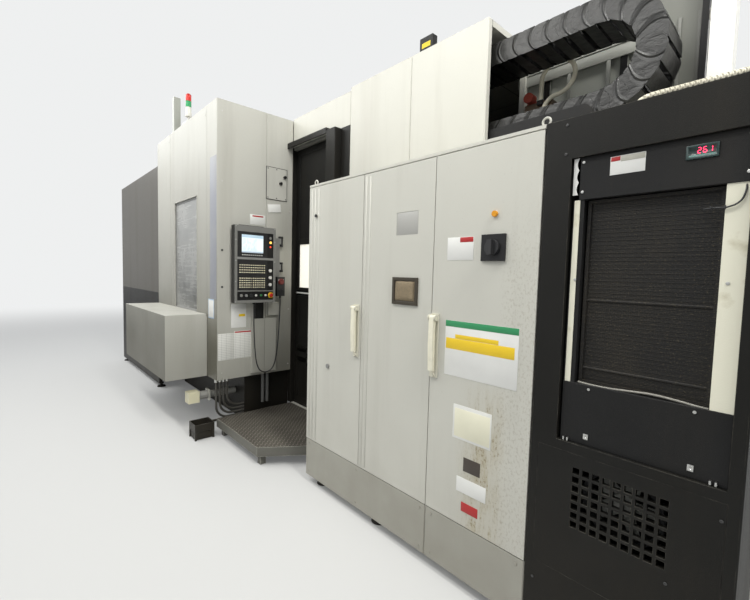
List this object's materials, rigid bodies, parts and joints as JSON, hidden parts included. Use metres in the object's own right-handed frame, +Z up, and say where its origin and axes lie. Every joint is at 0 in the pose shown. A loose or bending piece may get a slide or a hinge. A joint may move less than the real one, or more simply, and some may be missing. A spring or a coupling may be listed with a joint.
{
  "type": "cnc machining center",
  "caption": "Horizontal machining centre with a tool magazine tower, pallet bay, operator doorway, electrical cabinet, oil chiller and energy chain.",
  "frame": {"origin": "centre of the machine's footprint, on the floor", "axes": "+X along the long side towards the chiller, +Y away from the aisle, +Z up"},
  "size_m": [7.97, 3.6048, 3.68],
  "materials": {
    "light_paint": "warm grey textured paint",
    "dark_paint": "dark grey textured paint",
    "black_paint": "black textured paint",
    "casting": "painted casting",
    "ground_steel": "ground",
    "tread_steel": "worn tread plate",
    "black_plastic": "matte",
    "filter_mesh": "fine mesh",
    "rubber_hose": "smooth",
    "cream_plastic": "satin",
    "white_plastic": "satin",
    "green_plastic": "satin",
    "red_plastic": "satin",
    "silver_paint": "silver grey paint",
    "clear_pane": "scratched",
    "fan_metal": "black"
  },
  "bodies": {
    "machine": {"bed_casting": "casting", "levelling_feet": "black_paint", "pallet_stands": "casting", "back_panels": "light_paint", "roof_panels": "light_paint", "front_panels": "light_paint", "door_surround": "black_paint", "tower_shell": "light_paint", "tool_shelf": "light_paint", "service_panel": "light_paint", "base_covers": "dark_paint", "bay_covers": "dark_paint", "rear_housing": "light_paint", "magazine_motor": "casting", "step_platform": "tread_steel", "coolant_tray": "black_paint", "side_fittings": "dark_paint", "signal_mast": "silver_paint", "cabinet_case": "light_paint", "cabinet_plinth": "light_paint", "chiller_case": "black_paint", "chiller_core": "black_paint", "chiller_filter": "filter_mesh", "energy_chain": "black_plastic", "chain_tray": "black_paint", "hydraulic_hoses": "rubber_hose"},
    "operator_door": {"operator_door": "black_paint", "door_glass": "clear_pane"},
    "control_panel": {"control_panel": "silver_paint", "panel_face": "black_plastic", "handwheel_pendant": "black_plastic", "handwheel_cable": "rubber_hose"},
    "tool_door": {"tool_door": "silver_paint"},
    "pallet_door": {"pallet_door": "dark_paint"},
    "setup_pallet": {"setup_pallet": "ground_steel"},
    "table_pallet": {"table_pallet": "ground_steel"},
    "saddle": {"saddle": "casting"},
    "column": {"column": "casting"},
    "spindle_head": {"spindle_head": "light_paint"},
    "spindle": {"spindle": "ground_steel"},
    "magazine_wheel": {"magazine_wheel": "casting"},
    "change_arm": {"change_arm": "ground_steel"},
    "dial_1": {"dial_1": "white_plastic"},
    "dial_2": {"dial_2": "white_plastic"},
    "dial_3": {"dial_3": "white_plastic"},
    "e_stop": {"e_stop": "red_plastic"},
    "push_button_1": {"push_button_1": "white_plastic"},
    "push_button_2": {"push_button_2": "green_plastic"},
    "push_button_3": {"push_button_3": "white_plastic"},
    "mode_switch": {"mode_switch": "black_plastic"},
    "key_1": {"key_1": "ground_steel"},
    "key_2": {"key_2": "ground_steel"},
    "handwheel_dial": {"handwheel_dial": "red_plastic"},
    "door_left": {"door_left": "light_paint"},
    "door_middle": {"door_middle": "light_paint"},
    "door_right": {"door_right": "light_paint"},
    "handle_left": {"handle_left": "cream_plastic"},
    "handle_right": {"handle_right": "cream_plastic"},
    "breaker_knob": {"breaker_knob": "black_plastic"},
    "chiller_fan": {"chiller_fan": "fan_metal"}
  },
  "joints": [
    {"name": "operator_door_slide", "type": "slide", "parent": "machine", "child": "operator_door", "axis": [1, 0, 0], "range_m": [0, 0.85]},
    {"name": "tool_door_slide", "type": "slide", "parent": "machine", "child": "tool_door", "axis": [-1, 0, 0], "range_m": [0, 0.6]},
    {"name": "pallet_door_slide", "type": "slide", "parent": "machine", "child": "pallet_door", "axis": [0, -1, 0], "range_m": [0, 1.25]},
    {"name": "setup_pallet_turn", "type": "hinge", "parent": "machine", "child": "setup_pallet", "pos_m": [-2.88, 0.65, 1.1], "axis": [0, 0, 1], "continuous": true},
    {"name": "table_turn", "type": "hinge", "parent": "machine", "child": "table_pallet", "pos_m": [-0.685, 0.65, 1.1], "axis": [0, 0, 1], "continuous": true},
    {"name": "saddle_feed", "type": "slide", "parent": "machine", "child": "saddle", "axis": [-1, 0, 0], "range_m": [0, 1]},
    {"name": "column_feed", "type": "slide", "parent": "saddle", "child": "column", "axis": [0, 1, 0], "range_m": [-0.42, 0.42]},
    {"name": "head_feed", "type": "slide", "parent": "column", "child": "spindle_head", "axis": [0, 0, 1], "range_m": [-0.33, 0.65]},
    {"name": "spindle_turn", "type": "hinge", "parent": "spindle_head", "child": "spindle", "pos_m": [0.945, 0.65, 1.7], "axis": [1, 0, 0], "continuous": true},
    {"name": "magazine_turn", "type": "hinge", "parent": "machine", "child": "magazine_wheel", "pos_m": [-0.685, -0.663, 1.85], "axis": [0, 1, 0], "continuous": true},
    {"name": "change_arm_turn", "type": "hinge", "parent": "machine", "child": "change_arm", "pos_m": [-0.135, -0.603, 1.85], "axis": [0, 1, 0], "continuous": true},
    {"name": "panel_swivel", "type": "hinge", "parent": "machine", "child": "control_panel", "pos_m": [0.25, -0.74, 1.65], "axis": [0, 0, 1], "range_deg": [0, 60]},
    {"name": "dial_1_turn", "type": "hinge", "parent": "control_panel", "child": "dial_1", "pos_m": [0.333, -0.913, 1.61], "axis": [1, 0, 0], "range_deg": [-135, 135]},
    {"name": "dial_2_turn", "type": "hinge", "parent": "control_panel", "child": "dial_2", "pos_m": [0.333, -0.913, 1.54], "axis": [1, 0, 0], "range_deg": [-135, 135]},
    {"name": "dial_3_turn", "type": "hinge", "parent": "control_panel", "child": "dial_3", "pos_m": [0.333, -0.913, 1.47], "axis": [1, 0, 0], "range_deg": [-135, 135]},
    {"name": "mode_switch_turn", "type": "hinge", "parent": "control_panel", "child": "mode_switch", "pos_m": [0.333, -1.114, 1.362], "axis": [1, 0, 0], "range_deg": [-60, 60]},
    {"name": "key_1_turn", "type": "hinge", "parent": "control_panel", "child": "key_1", "pos_m": [0.333, -1.217, 1.362], "axis": [1, 0, 0], "range_deg": [0, 90]},
    {"name": "key_2_turn", "type": "hinge", "parent": "control_panel", "child": "key_2", "pos_m": [0.333, -1.167, 1.362], "axis": [1, 0, 0], "range_deg": [0, 90]},
    {"name": "button_1_press", "type": "slide", "parent": "control_panel", "child": "push_button_1", "axis": [-1, 0, 0], "range_m": [0, 0.004], "stiffness_N_per_m": 300},
    {"name": "button_2_press", "type": "slide", "parent": "control_panel", "child": "push_button_2", "axis": [-1, 0, 0], "range_m": [0, 0.004], "stiffness_N_per_m": 300},
    {"name": "button_3_press", "type": "slide", "parent": "control_panel", "child": "push_button_3", "axis": [-1, 0, 0], "range_m": [0, 0.004], "stiffness_N_per_m": 300},
    {"name": "e_stop_press", "type": "slide", "parent": "control_panel", "child": "e_stop", "axis": [-1, 0, 0], "range_m": [0, 0.005]},
    {"name": "handwheel_turn", "type": "hinge", "parent": "control_panel", "child": "handwheel_dial", "pos_m": [0.327, -0.779, 1.5], "axis": [1, 0, 0], "continuous": true},
    {"name": "door_left_swing", "type": "hinge", "parent": "machine", "child": "door_left", "pos_m": [1.544, -1.2095, 0.35], "axis": [0, 0, -1], "range_deg": [0, 95]},
    {"name": "door_middle_swing", "type": "hinge", "parent": "machine", "child": "door_middle", "pos_m": [2.161, -1.2095, 0.35], "axis": [0, 0, -1], "range_deg": [0, 95]},
    {"name": "door_right_swing", "type": "hinge", "parent": "machine", "child": "door_right", "pos_m": [3.274, -1.2095, 0.35], "axis": [0, 0, 1], "range_deg": [0, 95]},
    {"name": "handle_left_pull", "type": "hinge", "parent": "door_left", "child": "handle_left", "pos_m": [2.098, -1.245, 1.382], "axis": [-1, 0, 0], "range_deg": [0, 35]},
    {"name": "handle_right_pull", "type": "hinge", "parent": "door_right", "child": "handle_right", "pos_m": [2.747, -1.245, 1.382], "axis": [-1, 0, 0], "range_deg": [0, 35]},
    {"name": "breaker_turn", "type": "hinge", "parent": "door_right", "child": "breaker_knob", "pos_m": [3.075, -1.227, 1.738], "axis": [0, 1, 0], "range_deg": [0, 90]},
    {"name": "fan_turn", "type": "hinge", "parent": "machine", "child": "chiller_fan", "pos_m": [3.637, -1.051, 0.72], "axis": [0, 1, 0], "continuous": true}
  ]
}
